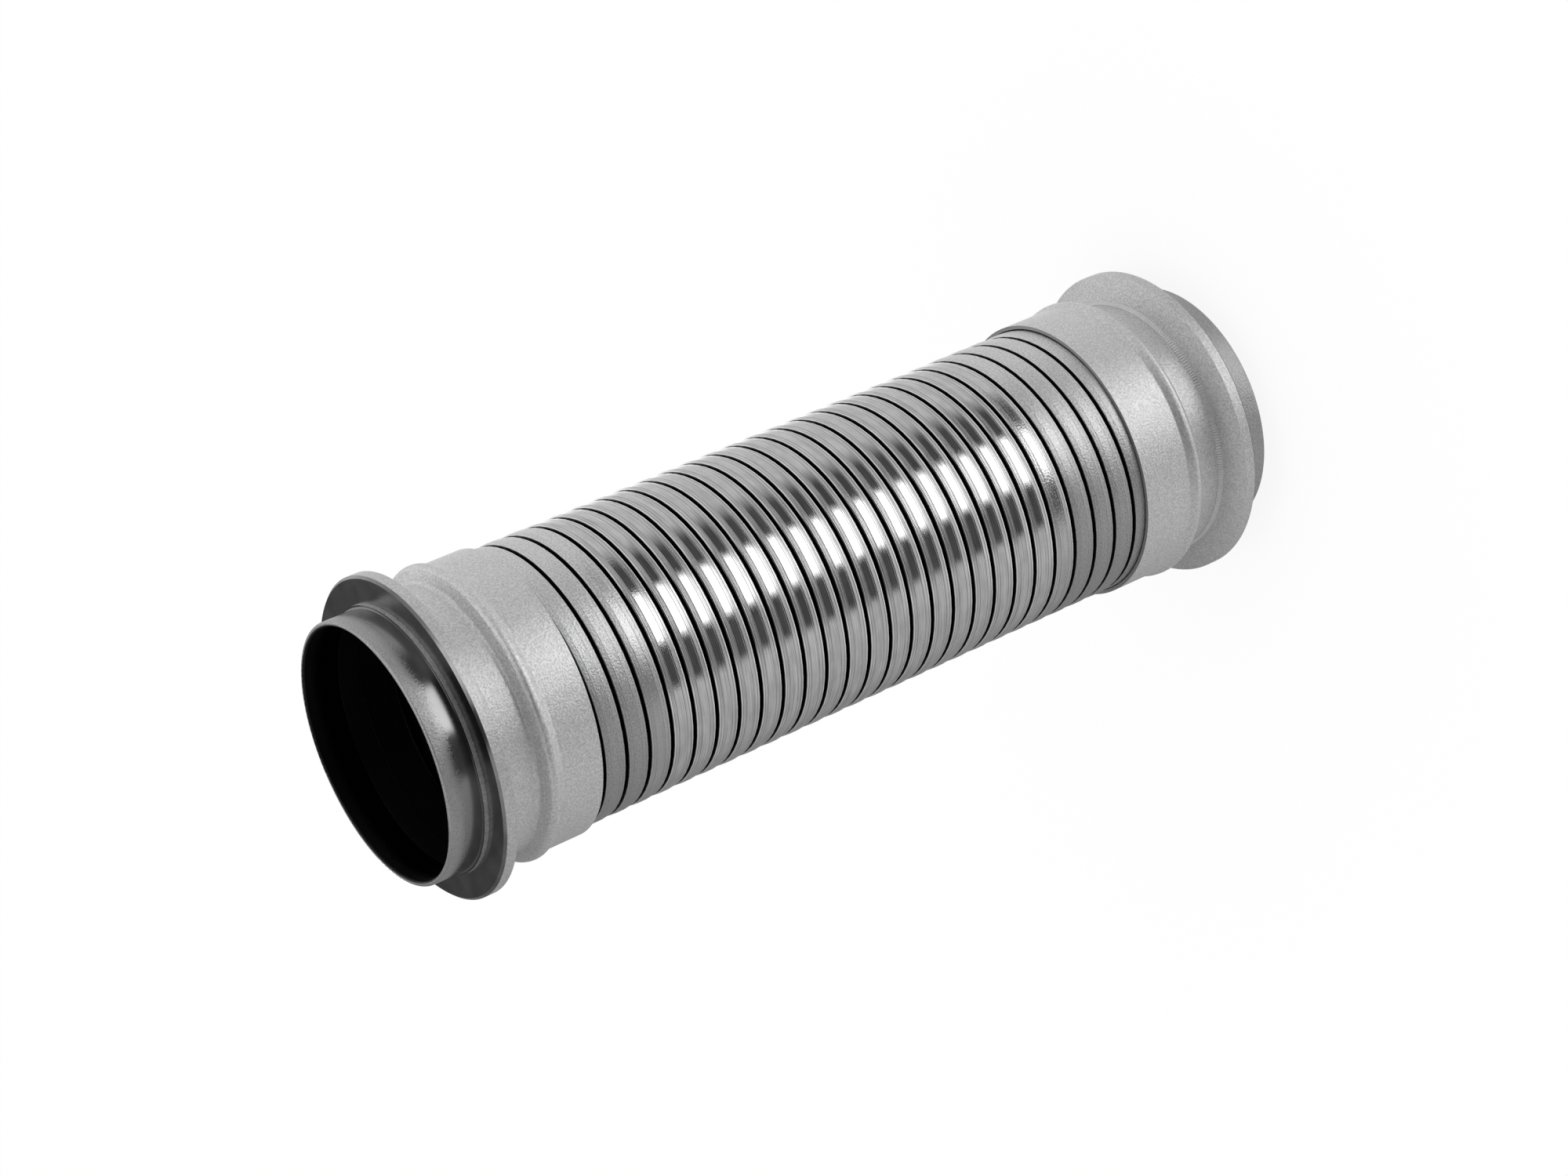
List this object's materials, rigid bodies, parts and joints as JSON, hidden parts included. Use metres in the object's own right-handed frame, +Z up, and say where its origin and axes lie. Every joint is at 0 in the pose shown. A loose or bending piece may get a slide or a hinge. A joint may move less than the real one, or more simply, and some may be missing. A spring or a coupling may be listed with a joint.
{
  "type": "exhaust flex pipe",
  "caption": "Flexible exhaust pipe: a wound metal strip hose between two formed end tubes, each with a flange ring for a V-band clamp.",
  "frame": {"origin": "centre of the circle that the lower spigot's open end stands on", "axes": "+Z up the pipe's axis through both fittings; -Y towards the side that the picture shows"},
  "size_m": [0.125, 0.125, 0.38],
  "materials": {
    "hose_strip": "rolled stainless strip, polished in the middle and matt near the ends",
    "formed_tube": "fine blasted stainless tube",
    "turned_ring": "turned steel, smooth front face and blasted rim",
    "weld": "dull weld metal"
  },
  "bodies": {
    "root": {"lower_end_tube": "formed_tube", "lower_flange_ring": "turned_ring", "lower_flange_weld": "weld", "lower_hose_weld": "weld", "flex_hose": "hose_strip"},
    "upper_end": {"upper_end_tube": "formed_tube", "upper_flange_ring": "turned_ring", "upper_flange_weld": "weld", "upper_hose_weld": "weld"}
  },
  "joints": [
    {"name": "hose_stretch", "type": "slide", "parent": "root", "child": "upper_end", "axis": [0, 0, 1], "range_m": [-0.025, 0.03], "deforming": ["flex_hose"]}
  ]
}
